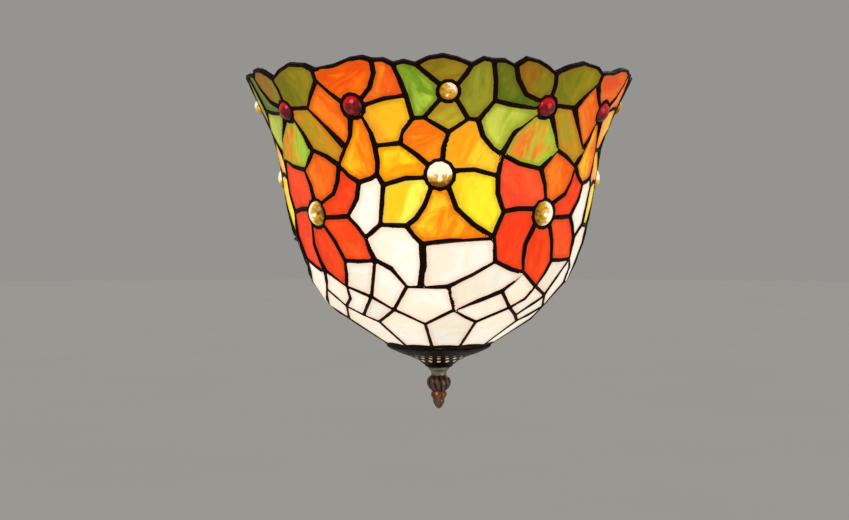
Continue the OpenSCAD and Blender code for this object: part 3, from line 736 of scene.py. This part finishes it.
def carved_finial():
    """The finial: a waisted neck, then a bulb, a collar and a tip carved with leaves that lean over."""
    profile = []
    for (r1, z1, d1, n1), (r2, z2, d2, n2) in zip(FINIAL, FINIAL[1:]):
        for k in range(4):
            t = k / 4
            profile.append((r1 + (r2 - r1) * t, z1 + (z2 - z1) * t, d1 + (d2 - d1) * t, n1 or n2))
    profile.append(FINIAL[-1])
    bm = bmesh.new()
    raised = bm.verts.layers.float.new("raised")
    rows = []
    for r, z, depth, leaves in profile:
        row = []
        for k in range(FINIAL_SIDES):
            a = 2 * math.pi * k / FINIAL_SIDES
            turn = leaves * a / 2 + (z + 240) * LEAF_LEAN
            ridge = abs(math.sin(turn)) ** 0.6
            vein = 0.5 + 0.5 * math.cos(6 * turn + 1.2 * math.sin(z * 1.3))
            carve = depth * (0.8 * ridge + 0.3 * vein * ridge - 0.65)
            vert = bm.verts.new(Vector((math.cos(a), math.sin(a), 0)) * (r + carve) * MM + UP * z * MM)
            vert[raised] = ridge * (0.6 + 0.4 * vein) if depth else 0.35
            row.append(vert)
        rows.append(row)
    for one, two in zip(rows, rows[1:]):
        for k in range(FINIAL_SIDES):
            n = (k + 1) % FINIAL_SIDES
            bm.faces.new([one[n], one[k], two[k], two[n]])
    bm.faces.new(rows[0])
    bmesh.ops.remove_doubles(bm, verts=bm.verts, dist=1e-7)
    bmesh.ops.recalc_face_normals(bm, faces=bm.faces)
    new_piece("carved_finial", mesh_from(bm, "finial", 60), LOOKS["antique_brass"], "finial", "antique_brass",
              "finial")


carved_finial()


# A bulb: its radius where it leaves the cap, where its round end begins, in degrees about the middle of
# that end, and the thread of its cap
NECK_R = 12 * MM
SHOULDER = -38
THREAD_PITCH = 3.6 * MM
THREAD_DEPTH = 0.9 * MM


def blown_bulbs():
    """Both bulbs: a pear-shaped frosted envelope, and a rolled thread on its cap."""
    for side in ("front", "back"):
        place = axis_of(side)
        foot, high, _, radius = extent("bulb_glass_" + side, place)
        middle = high - radius
        start, leave = (NECK_R, foot), math.radians(SHOULDER)
        end = (radius * math.cos(leave), middle + radius * math.sin(leave))
        reach = 0.9 * (end[1] - foot)
        envelope = []
        for k in range(12):
            t = k / 12
            a, b = 2 * t ** 3 - 3 * t ** 2 + 1, t ** 3 - 2 * t ** 2 + t
            c, d = 3 * t ** 2 - 2 * t ** 3, t ** 3 - t ** 2
            envelope.append((
                a * start[0] + c * end[0] - d * reach * math.sin(leave),
                a * start[1] + b * reach + c * end[1] + d * reach * math.cos(leave)))
        envelope += bend(0, middle, radius, SHOULDER, 90, 24)
        glass = lathe("bulb", envelope, place, 64, angle=80)
        new_piece("envelope_" + side, glass, LOOKS["bulb_glass"], BODY_OF["bulb_glass_" + side], "bulb_glass",
                  "bulb_glass_" + side)
        low, top, _, wide = extent("bulb_cap_" + side, place)
        rows = [(wide, low + 2 * MM + (top - low - 3 * MM) * i / 60) for i in range(61)]
        profile = [(4 * MM, low), (8 * MM, low), (wide - MM, low + 1.6 * MM), *rows, (wide - 0.4 * MM, top)]

        def thread(a, r, z):
            if r < wide - MM / 10:
                return r, z
            return r - THREAD_DEPTH / 2 * (1 + math.cos(2 * math.pi * z / THREAD_PITCH - a)), z

        cap = lathe("cap", profile, place, 72, shape=thread, angle=60)
        new_piece("threaded_cap_" + side, cap, LOOKS["bulb_metal"], BODY_OF["bulb_cap_" + side], "bulb_metal",
                  "bulb_cap_" + side)


blown_bulbs()


def dress(node):
    """Gives a CAD node its look, and eases its sharp edges, which its own mesh keeps."""
    NODES[node].data.materials.clear()
    NODES[node].data.materials.append(LOOKS[SLOT_OF[node]])
    eased = NODES[node].modifiers.new("eased", "BEVEL")
    eased.width = 0.2 * MM
    eased.segments = 2
    eased.limit_method = "ANGLE"
    eased.angle_limit = math.radians(40)


for node in NODES:
    if not NODES[node].hide_render:
        dress(node)


# ---- Stage, lights and camera ----

SHADE_MIDDLE = Vector((0, 0, -0.12))


def area_light(name, place, size, power):
    """A round soft light that faces the shade."""
    data = bpy.data.lights.new(name, "AREA")
    data.shape = "DISK"
    data.size = size
    data.energy = power
    light = bpy.data.objects.new(name, data)
    light.location = place
    light.rotation_euler = (SHADE_MIDDLE - Vector(place)).to_track_quat("-Z", "Y").to_euler()
    bpy.context.scene.collection.objects.link(light)


def studio():
    """A plain pale floor far below, a plain grey surround and three soft lights."""
    world = bpy.data.worlds.new("studio")
    world.use_nodes = True
    back = world.node_tree.nodes["Background"]
    back.inputs["Color"].default_value = srgb(150, 148, 144)
    back.inputs["Strength"].default_value = 1.0
    bpy.context.scene.world = world
    bm = bmesh.new()
    bmesh.ops.create_circle(bm, cap_ends=True, segments=64, radius=40)
    mesh = mesh_from(bm, "floor")
    floor = bpy.data.objects.new("floor", mesh)
    floor.location = (0, 0, -1.9)
    look = Look("floor", Roughness=0.9)
    look.colour(look.mix(look.noise(look.where(), 0.5), srgb(196, 194, 190), srgb(204, 202, 198)))
    look.glow(srgb(255, 252, 248), 0.14)
    mesh.materials.append(look.material)
    bpy.context.scene.collection.objects.link(floor)
    area_light("key", (-1.1, -1.6, 0.7), 1.2, 13)
    area_light("fill", (1.5, -1.0, -0.2), 1.4, 6)
    area_light("back", (0.5, 1.6, 0.6), 1.0, 3)


def camera():
    """Level with the middle of the shade, and turned a little down and to one side."""
    data = bpy.data.cameras.new("camera")
    data.sensor_width = 36
    data.lens = 59.15
    cam = bpy.data.objects.new("camera", data)
    cam.location = (0, -1.113, -0.115)
    pitch, yaw = math.radians(-1.7), math.radians(0.59)
    cam.rotation_euler = (math.pi / 2 + pitch, 0, yaw)
    bpy.context.scene.collection.objects.link(cam)
    bpy.context.scene.camera = cam


studio()
camera()
bpy.context.scene.view_settings.view_transform = "Standard"
